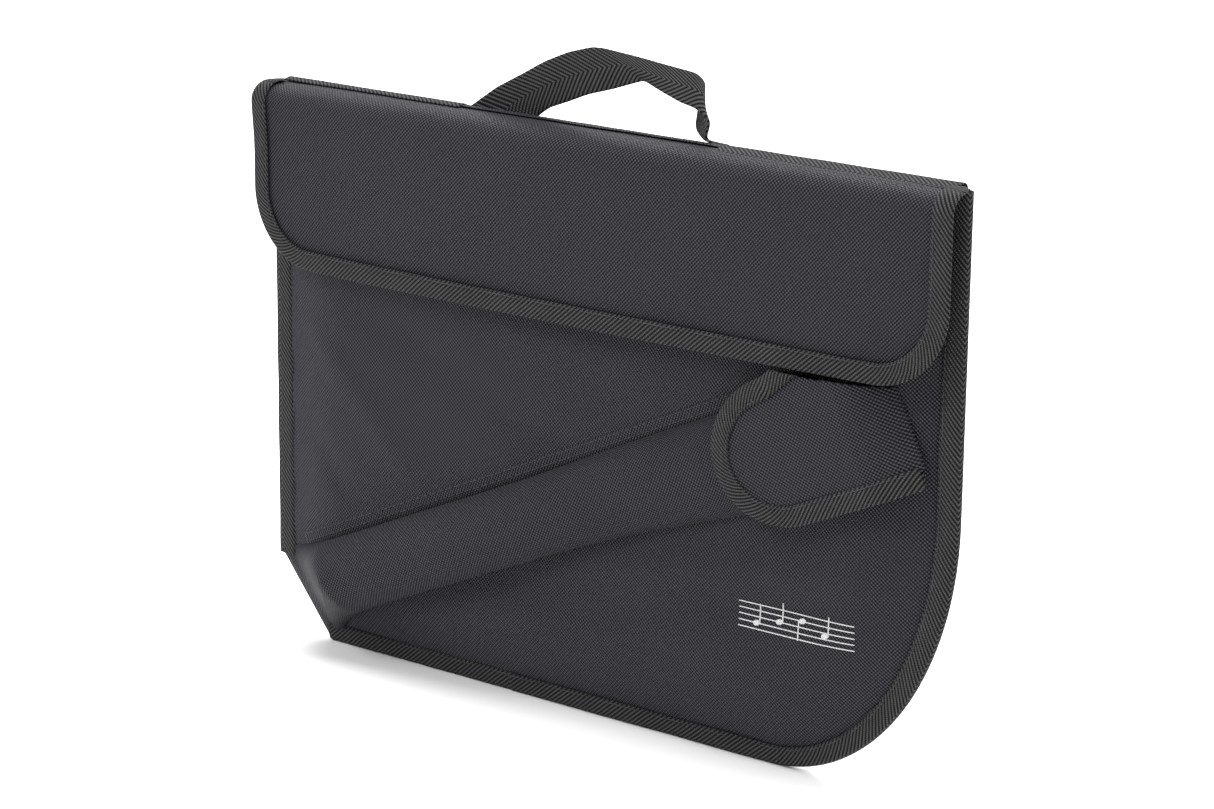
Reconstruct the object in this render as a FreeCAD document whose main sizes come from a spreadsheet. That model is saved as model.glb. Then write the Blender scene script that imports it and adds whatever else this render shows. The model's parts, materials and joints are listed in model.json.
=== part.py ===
import FreeCAD, Part
import math
import os
from types import SimpleNamespace

import Sketcher
from FreeCAD import Placement, Rotation, Vector

# Carrying bag for a folding music stand: a flat padded sheet-music pocket with a
# slanted sleeve for the folded stand on its front, a fold-over main flap, a small
# D-shaped flap over the sleeve's mouth, taped edges and a ribbon carrying handle.
#
# Frame: +X across the bag, +Z up, the front looks along -Y. The origin is the centre
# of the bounding box in X and Y, and Z = 0 is the bottom edge.
# "Depth" is measured forward (towards -Y) from the seam plane, where the front and
# back panels are sewn together. The seam plane stands at Y = seam_y.

SHEET = "Dimensions"

DIMENSIONS = [
    # body outline
    ("half_width", 240.0), ("ridge_height", 340.0), ("chamfer_run", 40.0), ("chamfer_rise", 50.0),
    ("corner_run", 115.0), ("corner_rise", 160.0), ("lap_x", -59.0),
    # layers, as depths from the seam plane
    ("seam_y", 17.5), ("flange_near", 0.1), ("flange_far", 1.3), ("tape_near", 1.6), ("tape_far", 2.8),
    ("back_face", 4.2), ("front_face", 16.0), ("cloth", 1.2), ("lining", 0.6),
    ("tape_width", 11.8), ("panel_inset", 13.5), ("mouth_height", 318.0), ("side_top", 325.5),
    # inside the panels: margins, and depths of foam and lining
    ("edge_margin", 1.2), ("flange_drop", 1.6), ("back_drop", 15.0), ("ease", 0.1),
    ("back_foam_near", 1.0), ("back_lining_far", 0.9), ("back_lining_near", 0.3),
    ("mouth_tape_wide", 10.5), ("mouth_tape_wall", 1.0), ("mouth_tape_leg", 0.8),
    # hook-and-loop closure of the main flap
    ("strip_half", 110.0), ("strip_low", 250.0), ("strip_high", 275.0), ("loop_thick", 1.4),
    ("flap_hook_near", 18.8), ("flap_hook_far", 20.4),
    # main flap layers, as depths
    ("flap_lining_near", 20.5), ("flap_lining_far", 21.1), ("flap_foam_near", 21.2), ("flap_foam_far", 23.0),
    ("flap_cloth_near", 23.1), ("flap_face", 24.0), ("flap_hem_near", 21.6), ("flap_hem_mid", 22.2),
    ("flap_hem_far", 22.9), ("flap_tape_near", 20.9), ("flap_tape_far", 23.6), ("flap_tape_leg", 0.6),
    # main flap
    ("flap_half", 243.0), ("flap_bottom", 234.0), ("flap_top", 330.4), ("flap_corner", 45.0),
    ("lift_depth", 2.4), ("lift_height", 337.6), ("crease_depth", 22.0), ("crease_height", 331.4),
    # ridge
    ("left_tape_end", -100.0), ("right_tape_end", 86.0), ("roll_top", 339.4),
    # slanted sleeve, in its own frame: along, across and depth
    ("sleeve_x", -222.0), ("sleeve_z", 25.0), ("sleeve_slope", 24.0), ("sleeve_mouth", 450.0),
    ("sleeve_base", 16.1), ("sleeve_cloth", 1.1),
    # flap over the sleeve's mouth
    ("small_hinge", 474.0), ("small_hinge_depth", 17.9), ("small_side", 41.0), ("small_centre", 400.0),
    ("small_reach", 46.0), ("small_round", 8.0), ("small_clear_z", 230.5),
    ("small_lining_far", 1.15), ("small_cloth_near", 1.25), ("small_cloth_far", 2.6),
    ("small_tape_near", 0.1), ("small_tape_far", 2.5), ("ramp_run", 22.0), ("ramp_rise", 7.0), ("ramp_crown", 8.8),
    ("hook_near", 24.2), ("hook_far", 24.6), ("loop_near", 23.6), ("loop_far", 24.05),
    ("patch_start", 371.0), ("patch_end", 403.0), ("patch_half", 11.5),
    # handle
    ("handle_near", 0.5), ("handle_far", 2.3), ("handle_foot", 340.6),
    # trim
    ("emblem_left", 110.0), ("emblem_right", 184.0), ("emblem_low", 77.0), ("emblem_high", 99.0),
    ("emblem_thick", 0.4), ("tack_long", 3.0), ("tack_thick", 0.5), ("tack_high", 10.0), ("tack_off", 2.65),
]


class Size:
    """A length together with the sheet expression that gives it."""

    def __init__(self, value, text):
        self.value = value
        self.text = text

    def join(self, sign, other, value):
        return Size(value, f"({self.text} {sign} {as_size(other).text})")

    def __add__(self, other):
        return self.join("+", other, self.value + as_size(other).value)

    def __sub__(self, other):
        return self.join("-", other, self.value - as_size(other).value)

    def __mul__(self, factor):
        return self.join("*", factor, self.value * as_size(factor).value)

    def __neg__(self):
        return self * -1.0

    def __radd__(self, other):
        return as_size(other) + self

    def __rsub__(self, other):
        return as_size(other) - self


def as_size(value):
    if isinstance(value, Size):
        return value
    return Size(float(value), f"{float(value):.6f}")


doc = FreeCAD.newDocument("MusicStandBag")
sheet = doc.addObject("Spreadsheet::Sheet", SHEET)
for row, (alias, amount) in enumerate(DIMENSIONS, start=1):
    sheet.set(f"A{row}", alias)
    sheet.set(f"B{row}", str(amount))
    sheet.setAlias(f"B{row}", alias)
doc.recompute()
D = SimpleNamespace(**{alias: Size(amount, f"{SHEET}.{alias}") for alias, amount in DIMENSIONS})
NODES = []


# ---------------------------------------------------------------- sketch helpers

def line(start, end):
    """An edge of an outline, from one (u, v) point to the next."""
    return ("line", start, end, None)


def quarter(start, end, centre, run, rise):
    """A quarter of an upright ellipse about centre, run wide and rise high."""
    return ("quarter", start, end, (centre, run, rise))


def polygon(points):
    """The edges of a closed outline with straight sides."""
    return [line(points[i], points[(i + 1) % len(points)]) for i in range(len(points))]


def bind(sketch, constraint, size):
    """Adds a distance constraint and ties it to the sheet."""
    index = sketch.addConstraint(constraint)
    if SHEET in size.text:
        sketch.setExpression(f"Constraints[{index}]", size.text)


def quarter_arc(start, end, centre, run, rise):
    """The arc and whether it runs backwards from end to start."""
    middle = Vector(centre[0], centre[1], 0)
    if rise > run:
        major, minor = Vector(0, rise, 0), Vector(-run, 0, 0)
    else:
        major, minor = Vector(run, 0, 0), Vector(0, rise, 0)
    if abs(rise - run) < 1e-6:
        curve = Part.Circle(middle, Vector(0, 0, 1), run)
    else:
        curve = Part.Ellipse(middle + major, middle + minor, middle)
    first = curve.parameter(Vector(start[0], start[1], 0))
    last = curve.parameter(Vector(end[0], end[1], 0))
    sweep = (last - first) % (2 * math.pi)
    backwards = sweep > math.pi
    if backwards:
        first, last = last, first
    if last < first:
        last += 2 * math.pi
    if abs(rise - run) < 1e-6:
        return Part.ArcOfCircle(curve, first, last), backwards
    return Part.ArcOfEllipse(curve, first, last), backwards


def new_sketch(body, plane, offset, outlines):
    """A sketch on one of the body's own planes, offset along its normal."""
    sketch = body.newObject("Sketcher::SketchObject", "Outline")
    support = [item for item in body.Origin.OriginFeatures if item.Role == plane][0]
    sketch.AttachmentSupport = [(support, "")]
    sketch.MapMode = "FlatFace"
    offset = as_size(offset)
    sketch.AttachmentOffset = Placement(Vector(0, 0, offset.value), Rotation())
    if SHEET in offset.text:
        sketch.setExpression("AttachmentOffset.Base.z", offset.text)
    for edges in outlines:
        ends = []
        for kind, start, end, shape in edges:
            p = [as_size(part) for part in start]
            q = [as_size(part) for part in end]
            first = (p[0].value, p[1].value)
            last = (q[0].value, q[1].value)
            if kind == "line":
                edge = Part.LineSegment(Vector(*first, 0), Vector(*last, 0))
                index = sketch.addGeometry(edge)
                ends.append((index, 1, 2, p))
            else:
                (centre, run, rise) = shape
                middle = [as_size(part) for part in centre]
                arc, backwards = quarter_arc(first, last, (middle[0].value, middle[1].value),
                                             as_size(run).value, as_size(rise).value)
                index = sketch.addGeometry(arc)
                ends.append((index, 2, 1, p) if backwards else (index, 1, 2, p))
        for number, (index, begin, finish, point) in enumerate(ends):
            after, after_begin = ends[(number + 1) % len(ends)][:2]
            sketch.addConstraint(Sketcher.Constraint("Coincident", index, finish, after, after_begin))
        for index, begin, finish, point in ends:
            bind(sketch, Sketcher.Constraint("DistanceX", -1, 1, index, begin, point[0].value), point[0])
            bind(sketch, Sketcher.Constraint("DistanceY", -1, 1, index, begin, point[1].value), point[1])
    return sketch


def set_length(feature, length):
    length = as_size(length)
    feature.Length = length.value
    if SHEET in length.text:
        feature.setExpression("Length", length.text)


def pad(body, edges, near, far, plane="XZ_Plane"):
    """A slab of the outline between two offsets from the plane."""
    sketch = new_sketch(body, plane, near, [edges])
    feature = body.newObject("PartDesign::Pad", "Slab")
    feature.Profile = sketch
    set_length(feature, as_size(far) - near)
    return feature


def cut(body, edges, near, far, plane="XZ_Plane"):
    """Removes the outline between two offsets from the plane."""
    sketch = new_sketch(body, plane, far, [edges])
    feature = body.newObject("PartDesign::Pocket", "Hollow")
    feature.Profile = sketch
    set_length(feature, as_size(far) - near)
    return feature


def trim(body, edges, plane="XZ_Plane", reach=700.0):
    """Removes everything outside the outline."""
    frame = polygon([(-reach, -reach), (reach, -reach), (reach, reach), (-reach, reach)])
    sketch = new_sketch(body, plane, reach / 7, [frame, edges])
    feature = body.newObject("PartDesign::Pocket", "Outside")
    feature.Profile = sketch
    set_length(feature, 2 * reach / 7)
    return feature


def new_body(label, placement="seam"):
    """An empty body for one node, placed on the seam plane or on the sleeve's frame."""
    body = doc.addObject("PartDesign::Body", "Node_" + label)
    body.Label = label
    if placement == "seam":
        body.Placement = Placement(Vector(0, D.seam_y.value, 0), Rotation())
    else:
        turn = Rotation(Vector(0, 1, 0), -D.sleeve_slope.value)
        body.Placement = Placement(Vector(D.sleeve_x.value, D.seam_y.value, D.sleeve_z.value), turn)
        body.setExpression("Placement.Base.x", D.sleeve_x.text)
        body.setExpression("Placement.Base.z", D.sleeve_z.text)
    body.setExpression("Placement.Base.y", D.seam_y.text)
    NODES.append(body)
    return body


def solid_node(label, shape):
    """A node whose shape is worked out by functions of its own."""
    feature = doc.addObject("Part::Feature", "Node_" + label)
    feature.Label = label
    feature.Shape = shape
    feature.Placement = Placement(Vector(0, D.seam_y.value, 0), Rotation()).multiply(shape.Placement)
    NODES.append(feature)
    return feature


# ---------------------------------------------------------------- outlines

CHAMFER_LENGTH = math.hypot(D.chamfer_run.value, D.chamfer_rise.value)
CHAMFER_UP = (CHAMFER_LENGTH - D.chamfer_rise.value) / D.chamfer_run.value
CHAMFER_ALONG = (CHAMFER_LENGTH - D.chamfer_run.value) / D.chamfer_rise.value


def inset(amount, factor=1.0):
    return as_size(amount) * factor


def body_outline(border, top):
    """The bag's outline seen from the front, moved in by border, up to a height."""
    left = border - D.half_width
    right = D.half_width - border
    corner_x = D.half_width - D.corner_run
    run = D.corner_run - border
    rise = D.corner_rise - border
    points = [
        (left, top),
        (left, D.chamfer_rise + inset(border, CHAMFER_UP)),
        (D.chamfer_run - D.half_width + inset(border, CHAMFER_ALONG), as_size(border)),
        (corner_x, as_size(border)),
        (right, D.corner_rise),
        (right, top),
    ]
    return [
        line(points[0], points[1]), line(points[1], points[2]), line(points[2], points[3]),
        quarter(points[3], points[4], (corner_x, D.corner_rise), run, rise),
        line(points[4], points[5]), line(points[5], points[0]),
    ]


def flap_outline(border, top):
    """The main flap's outline, moved in by border, with round lower corners."""
    side = D.flap_half - border
    low = D.flap_bottom + border
    round_x = D.flap_half - D.flap_corner
    round_z = D.flap_bottom + D.flap_corner
    radius = D.flap_corner - border
    points = [(-side, top), (-side, round_z), (-round_x, low), (round_x, low), (side, round_z), (side, top)]
    return [
        line(points[0], points[1]),
        quarter(points[1], points[2], (-round_x, round_z), radius, radius),
        line(points[2], points[3]),
        quarter(points[3], points[4], (round_x, round_z), radius, radius),
        line(points[4], points[5]), line(points[5], points[0]),
    ]


SLOPE_SIN = math.sin(math.radians(D.sleeve_slope.value))
SLOPE_COS = math.cos(math.radians(D.sleeve_slope.value))


def hem_across(along):
    """Where the small flap's straight upper hem crosses a place along the sleeve."""
    return (D.small_clear_z - D.sleeve_z - as_size(along) * SLOPE_SIN) * (1 / SLOPE_COS)


def hem_along(across):
    """The place along the sleeve where that hem crosses a distance across it."""
    return (D.small_clear_z - D.sleeve_z - as_size(across) * SLOPE_COS) * (1 / SLOPE_SIN)


def small_outline(border, right):
    """The D-shaped flap's outline in the sleeve's frame, moved in by border."""
    side = D.small_side - border
    reach = D.small_reach - border
    bend = D.small_round.value
    points = [
        (right, hem_across(right)), (hem_along(side), side), (D.small_centre, side),
        (D.small_centre - reach, as_size(0.0)), (D.small_centre, -side),
        (as_size(right) - bend, -side), (as_size(right), bend - side),
    ]
    centre = (D.small_centre, as_size(0.0))
    return [
        line(points[0], points[1]), line(points[1], points[2]),
        quarter(points[2], points[3], centre, reach, side),
        quarter(points[3], points[4], centre, reach, side),
        line(points[4], points[5]), line(points[5], points[6]), line(points[6], points[0]),
    ]


def small_inside(border, right):
    """The field inside the D-shaped flap's tape, open at the hinge and at the hem."""
    side = D.small_side - border
    reach = D.small_reach - border
    centre = (D.small_centre, as_size(0.0))
    points = [(right, side), (D.small_centre, side), (D.small_centre - reach, as_size(0.0)),
              (D.small_centre, -side), (right, -side)]
    return [
        line(points[0], points[1]), quarter(points[1], points[2], centre, reach, side),
        quarter(points[2], points[3], centre, reach, side), line(points[3], points[4]),
        line(points[4], points[0]),
    ]


def box_edges(low_u, low_v, high_u, high_v):
    return polygon([(low_u, low_v), (high_u, low_v), (high_u, high_v), (low_u, high_v)])


# ---------------------------------------------------------------- music pocket

def make_back():
    """The padded back panel, its foam and its lining. Its outer face is flat."""
    shell = new_body("back_shell")
    top = D.ridge_height - D.back_drop
    pad(shell, body_outline(D.edge_margin, D.ridge_height - D.flange_drop), -D.flange_far, -D.flange_near)
    pad(shell, body_outline(D.panel_inset, top), -D.back_face, -D.flange_near)
    cut(shell, body_outline(D.panel_inset + D.cloth, top - D.cloth), D.cloth - D.back_face, D.cloth)
    border = D.panel_inset + D.cloth + D.ease
    inner_top = top - D.cloth - D.ease * 2
    foam = new_body("back_foam")
    pad(foam, body_outline(border, inner_top), D.cloth + D.ease - D.back_face, -D.back_foam_near)
    lining = new_body("back_lining")
    pad(lining, body_outline(border, inner_top), -D.back_lining_far, -D.back_lining_near)


def make_front():
    """The front panel: a shallow pan, open at the top, with a taped mouth."""
    shell = new_body("front_shell")
    pad(shell, body_outline(D.edge_margin, D.mouth_height), D.flange_near, D.flange_far)
    pad(shell, body_outline(D.panel_inset, D.mouth_height), D.flange_near, D.front_face)
    hollow = body_outline(D.panel_inset + D.cloth, D.mouth_height + 10)
    cut(shell, hollow, -5.0, D.front_face - D.cloth)
    lining = new_body("front_lining")
    lining_far = D.front_face - D.cloth - D.ease
    pad(lining, body_outline(D.panel_inset + D.cloth + D.ease, D.mouth_height - 2),
        lining_far - D.lining, lining_far)
    tape = new_body("mouth_binding")
    half = D.half_width - D.panel_inset - D.cloth - D.ease * 2
    low, gap = D.mouth_height - D.mouth_tape_wide, D.mouth_height + D.ease * 2
    under = D.front_face - D.cloth - D.lining - D.ease * 3
    over = D.front_face + D.ease
    pad(tape, box_edges(-half, low, half, gap + D.mouth_tape_wall), under - D.mouth_tape_leg, over + D.mouth_tape_leg)
    cut(tape, box_edges(-half, low, half, gap), under, over)
    loops = new_body("flap_loop_strip")
    pad(loops, box_edges(-D.strip_half, D.strip_low, D.strip_half, D.strip_high), over, over + D.loop_thick)


def edge_tape(label, outer, inner):
    """A tape folded over the sewn edge: two legs and an outer wall."""
    tape = new_body(label)
    pad(tape, outer, -D.tape_far, D.tape_far)
    cut(tape, inner, -D.tape_near + 0.1, D.tape_near - 0.1)
    return tape


def make_edge_tapes():
    wide = D.tape_width
    left = -D.half_width
    low = D.chamfer_rise + 1.0
    edge_tape("left_binding", box_edges(left, low, left + wide, D.side_top),
              box_edges(left + 1.0, low - 5, left + wide + 5, D.side_top + 5))
    start = D.chamfer_run - D.half_width + 3.0
    end = D.lap_x - 0.3
    edge_tape("bottom_binding", box_edges(start, 0, end, wide), box_edges(start - 5, 1.0, end + 5, wide + 5))

    corner_x = D.half_width - D.corner_run
    centre = (corner_x, D.corner_rise)

    def track(lap, top, outer, inner):
        right, inner_right = D.half_width - outer, D.half_width - inner
        points = [(lap, outer), (corner_x, outer), (right, D.corner_rise), (right, top),
                  (inner_right, top), (inner_right, D.corner_rise), (corner_x, inner), (lap, inner)]
        return [
            line(points[0], points[1]),
            quarter(points[1], points[2], centre, D.corner_run - outer, D.corner_rise - outer),
            line(points[2], points[3]), line(points[3], points[4]), line(points[4], points[5]),
            quarter(points[5], points[6], centre, D.corner_run - inner, D.corner_rise - inner),
            line(points[6], points[7]), line(points[7], points[0]),
        ]

    edge_tape("right_binding", track(D.lap_x, D.side_top, as_size(0.0), wide),
              track(D.lap_x - 5, D.side_top + 5, as_size(1.0), wide + 5))


def make_ridge():
    """The sewn ridge: taped at both ends, plain rolled cloth between them."""
    ends = [("ridge_tape_left", -D.flap_half, D.left_tape_end, D.ridge_height),
            ("ridge_roll", D.left_tape_end + 0.5, D.right_tape_end - 0.5, D.roll_top),
            ("ridge_tape_right", D.right_tape_end, D.flap_half, D.ridge_height)]
    low = D.side_top + 0.5
    for label, start, end, top in ends:
        tape = new_body(label)
        profile = polygon([(2.6, low), (2.6, top), (-0.2, top), (-0.2, top - 1.0), (1.6, top - 1.0), (1.6, low)])
        pad(tape, profile, start, end, "YZ_Plane")


# ---------------------------------------------------------------- main flap

def along_shelf(distance, lift):
    """A (-depth, height) point of the top strip, from its hinge outward and above it."""
    run = D.crease_depth - D.lift_depth
    drop = D.lift_height - D.crease_height
    length = math.hypot(run.value, drop.value)
    depth = D.lift_depth + run * (distance / length) + drop * (lift / length)
    height = D.lift_height - drop * (distance / length) + run * (lift / length)
    return (-depth, height)


def make_flap_top():
    """The strip over the pocket's top, between the ridge and the flap's front crease."""
    shell = new_body("flap_fold_shell")
    corners = [(0.0, -0.1), (19.8, -0.1), (19.8, 0.8), (0.0, 0.8)]
    pad(shell, polygon([along_shelf(*c) for c in corners]), -D.flap_half, D.flap_half, "YZ_Plane")
    lining = new_body("flap_fold_lining")
    corners = [(0.5, -0.8), (19.3, -0.8), (19.3, -0.2), (0.5, -0.2)]
    pad(lining, polygon([along_shelf(*c) for c in corners]), 2 - D.flap_half, D.flap_half - 2, "YZ_Plane")
    for label, start, end, reach in (("fold_tape_left", -D.flap_half, D.left_tape_end, 8.0),
                                     ("fold_tape_right", D.right_tape_end, D.flap_half, 12.0)):
        tape = new_body(label)
        corners = [(1.5, 0.9), (reach, 0.9), (reach, 1.7), (1.5, 1.7)]
        pad(tape, polygon([along_shelf(*c) for c in corners]), start, end, "YZ_Plane")


def make_flap():
    """The fold-over flap: outer cloth, foam, lining, a taped edge and a hook strip."""
    border = D.tape_width + D.ease * 2
    lining_top = D.flap_top - D.ease * 2
    shell = new_body("flap_shell")
    pad(shell, flap_outline(D.edge_margin, D.flap_top), D.flap_hem_mid + D.ease, D.flap_hem_far)
    pad(shell, flap_outline(border, D.flap_top), D.flap_hem_mid + D.ease, D.flap_face)
    cut(shell, flap_outline(border + D.flap_tape_leg, D.flap_top - D.cloth), D.flap_hem_near, D.flap_cloth_near)
    lining = new_body("flap_lining")
    pad(lining, flap_outline(D.edge_margin, lining_top), D.flap_hem_near, D.flap_hem_mid)
    pad(lining, flap_outline(border, lining_top), D.flap_lining_near, D.flap_hem_mid)
    cut(lining, flap_outline(border + D.flap_tape_leg, lining_top - D.cloth), D.flap_lining_far, D.flap_face)
    foam = new_body("flap_foam")
    foam_top = lining_top - D.cloth - D.ease
    pad(foam, flap_outline(border + D.flap_tape_leg + D.ease, foam_top), D.flap_foam_near, D.flap_foam_far)
    tape = new_body("flap_binding")
    tape_gap_near, tape_gap_far = D.flap_tape_near + D.flap_tape_leg, D.flap_tape_far - D.flap_tape_leg
    pad(tape, flap_outline(as_size(0.0), D.flap_top), D.flap_tape_near, D.flap_tape_far)
    cut(tape, flap_outline(D.tape_width, D.flap_top + 5), D.flap_tape_near - 1, D.flap_tape_far + 1)
    cut(tape, flap_outline(D.edge_margin - D.ease * 2, D.flap_top + 5), tape_gap_near, tape_gap_far)
    hooks = new_body("flap_hook_strip")
    strip = box_edges(-D.strip_half, D.strip_low, D.strip_half, D.strip_high)
    pad(hooks, strip, D.flap_hook_near, D.flap_hook_far)


# ---------------------------------------------------------------- slanted sleeve

def arch(half, base, crown, along, turn=0.0):
    """A closed arch: a flat foot at the base depth and a curved top to the crown depth."""
    left, right = Vector(along, -base, -half), Vector(along, -base, half)
    spread = 0.72 * half
    shoulder = base + 0.74 * (crown - base)
    over = Part.BSplineCurve()
    over.interpolate([left, Vector(along, -shoulder, -spread), Vector(along, -crown, 0.0),
                      Vector(along, -shoulder, spread), right])
    wire = Part.Wire([over.toShape(), Part.makeLine(right, left)])
    if turn:
        wire.rotate(Vector(along, 0, 0), Vector(0, 1, 0), turn)
    return wire


def sleeve_frame(shape):
    """Turns a shape from the sleeve's frame into the bag's."""
    shape.rotate(Vector(0, 0, 0), Vector(0, 1, 0), -D.sleeve_slope.value)
    shape.translate(Vector(D.sleeve_x.value, 0, D.sleeve_z.value))
    return shape


# stations along the sleeve: place, half width, height above the front panel
SLEEVE_STATIONS = [(20.0, 24.0, 15.0), (52.0, 24.6, 21.5), (150.0, 26.0, 20.0), (250.0, 27.6, 14.0),
                   (345.0, 29.0, 7.4), (400.0, 29.6, 6.8)]


def make_sleeve():
    """The stand sleeve: a long puffed tunnel sewn to the front panel, open at its upper end."""
    base, wall = D.sleeve_base.value, D.sleeve_cloth.value
    stations = SLEEVE_STATIONS + [(D.sleeve_mouth.value, 30.0, 6.5)]
    outside, inside = [], []
    for number, (along, half, height) in enumerate(stations):
        turn = chamfer_turn() if number == 0 else 0.0
        outside.append(arch(half, base, base + height, along, turn))
        place = along
        if number == 0:
            place = along - 2.0
        if number == len(stations) - 1:
            place = along + 2.0
        inside.append(arch(half - wall - 0.4, base - 1.0, base + height - wall, place, turn))
    tunnel = Part.makeLoft(outside, True, False).cut(Part.makeLoft(inside, True, False))
    solid_node("stand_sleeve", sleeve_frame(tunnel))


def chamfer_turn():
    """The angle between the cut corner's inward normal and the sleeve's axis."""
    normal = math.degrees(math.atan2(D.chamfer_run.value, D.chamfer_rise.value))
    return D.sleeve_slope.value - normal


def make_sleeve_end():
    """The sleeve's closed lower end, which rises over the bag's cut corner, and its wrap."""
    start = 1.6
    stations = [(start, 18.0, 7.0), (start + 6.5, 23.0, 20.0), (start + 11.6, 24.0, 28.0)]
    outside = [arch(half, 3.0, crown, along) for along, half, crown in stations]
    inner = [(start + 1.5, 16.0, 5.6), (start + 6.5, 21.6, 18.6), (start + 14.0, 22.6, 28.4)]
    inside = [arch(half, 4.0, crown, along) for along, half, crown in inner]
    gusset = Part.makeLoft(outside, True, False).cut(Part.makeLoft(inside, True, False))
    place_on_chamfer(gusset)
    solid_node("sleeve_end_gusset", gusset)

    wide = D.tape_width.value
    outer = [(0.0, 2.8), (wide, 2.8), (wide, 1.6), (1.0, 1.6), (1.0, -1.6), (wide, -1.6),
             (wide, -2.8), (0.0, -2.8)]
    face = Part.Face(Part.makePolygon([Vector(u, v, -24.0) for u, v in outer + outer[:1]]))
    wrap = face.extrude(Vector(0, 0, 48.0))
    place_on_chamfer(wrap)
    solid_node("sleeve_end_wrap", wrap)


def place_on_chamfer(shape):
    """Moves a shape made along +X onto the middle of the cut corner."""
    angle = math.degrees(math.atan2(D.chamfer_run.value, D.chamfer_rise.value))
    shape.rotate(Vector(0, 0, 0), Vector(0, 1, 0), -angle)
    middle_x = D.chamfer_run.value / 2 - D.half_width.value
    middle_z = D.chamfer_rise.value / 2
    shape.translate(Vector(middle_x, 0, middle_z))


# ---------------------------------------------------------------- flap over the sleeve's mouth

def small_layer(body, low, high):
    """A bent layer of the D-shaped flap: a ramp at the hinge, then nearly flat."""
    foot = D.small_hinge_depth - 1.0
    spine = [(D.small_hinge, foot), (D.small_hinge - D.ramp_run, foot + D.ramp_rise),
             (D.small_centre - 60, foot + D.ramp_crown)]
    ring = [(u, -(v + low)) for u, v in spine] + [(u, -(v + high)) for u, v in reversed(spine)]
    return pad(body, polygon(ring), -60.0, 60.0, "XY_Plane")


def make_small_flap():
    hinge = D.small_hinge
    field = small_outline(D.tape_width + D.ease * 2, hinge)
    shell = new_body("sleeve_flap_shell", "sleeve")
    small_layer(shell, D.small_cloth_near, D.small_cloth_far)
    trim(shell, field)
    lining = new_body("sleeve_flap_lining", "sleeve")
    small_layer(lining, as_size(0.0), D.small_lining_far)
    trim(lining, field)
    tape = new_body("sleeve_flap_binding", "sleeve")
    small_layer(tape, D.small_tape_near, D.small_tape_far)
    trim(tape, small_outline(as_size(0.0), hinge))
    cut(tape, small_inside(D.tape_width, hinge + 20), -60.0, 60.0)
    patch = box_edges(D.patch_start, -D.patch_half, D.patch_end, D.patch_half)
    pad(new_body("sleeve_flap_hook_patch", "sleeve"), patch, D.hook_near, D.hook_far)
    pad(new_body("sleeve_loop_patch", "sleeve"), patch, D.loop_near, D.loop_far)
    anchor = new_body("sleeve_flap_anchor", "sleeve")
    pad(anchor, box_edges(hinge - 8, -26, hinge - 0.5, 6), D.front_face + D.ease, D.front_face + 0.6)


# ---------------------------------------------------------------- handle, tacks and emblem

def make_handle():
    """The ribbon handle: it climbs from the left, turns down at an elbow on the right."""
    strap = new_body("handle_strap")
    foot = D.handle_foot
    points = [(-97, foot), (-76, 353.0), (-41, 372.4), (-22, 380.8), (-4, 385.6), (6, 386.0), (30, 383.2),
              (66, 379.4), (73, 376.0), (75.2, 370.0), (75.6, foot), (66.5, foot), (67.5, 353.0), (69, 358.4),
              (49, 363.0), (29, 369.0), (10, 363.4), (-12, 357.4), (-30, 349.6), (-50, foot)]
    pad(strap, polygon(points), -D.handle_far, -D.handle_near)


def make_trim():
    """Small trim: the sewn tacks beside the handle's feet and the embroidered badge."""
    tacks = doc.addObject("Part::Compound", "Node_bar_tacks")
    tacks.Label = "bar_tacks"
    blocks = []
    for name, start in (("TackLeft", -108.0), ("TackRight", 89.0)):
        block = doc.addObject("Part::Box", name)
        block.setExpression("Length", f"{SHEET}.tack_long")
        block.setExpression("Width", f"{SHEET}.tack_thick")
        block.setExpression("Height", f"{SHEET}.tack_high")
        block.setExpression("Placement.Base.y", f"{SHEET}.seam_y + {SHEET}.tack_off")
        block.setExpression("Placement.Base.z", f"{SHEET}.side_top + 2")
        block.Placement = Placement(Vector(start, D.seam_y.value + D.tack_off.value, D.side_top.value + 2), Rotation())
        blocks.append(block)
    tacks.Links = blocks
    NODES.append(tacks)
    emblem = new_body("emblem")
    badge = box_edges(D.emblem_left, D.emblem_low, D.emblem_right, D.emblem_high)
    pad(emblem, badge, D.front_face + D.ease, D.front_face + D.ease + D.emblem_thick)


# ---------------------------------------------------------------- build and write

make_back()
make_front()
make_edge_tapes()
make_ridge()
make_flap_top()
make_flap()
make_sleeve()
make_sleeve_end()
make_small_flap()
make_handle()
make_trim()
doc.recompute()

for item in doc.Objects:
    if "Invalid" in item.State or "Error" in item.State:
        raise RuntimeError(f"{item.Label} ({item.Name}) did not compute: {item.State}")
for node in NODES:
    if node.Shape.isNull() or not node.Shape.isValid():
        raise RuntimeError(f"{node.Label} has no valid shape")

os.makedirs("parts", exist_ok=True)
whole = FreeCAD.BoundBox()
for node in NODES:
    whole.add(node.Shape.BoundBox)
    node.Shape.exportStep(f"parts/{node.Label}.step")
    print(f"{node.Label:24s} solids {len(node.Shape.Solids):2d} volume {node.Shape.Volume / 1000:9.2f} cm3")
print("box", [round(value, 2) for value in (whole.XMin, whole.XMax, whole.YMin, whole.YMax,
                                            whole.ZMin, whole.ZMax)])
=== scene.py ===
"""Looks of a carrying bag for a folding music stand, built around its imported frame.

Lengths inside this script are millimetres until a mesh is made. "Depth" is measured
forward (towards -Y) from the seam plane, where the front and back panels are sewn together.
"""
import json
import math

import bpy
import numpy as np
from mathutils import Matrix, Vector


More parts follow.
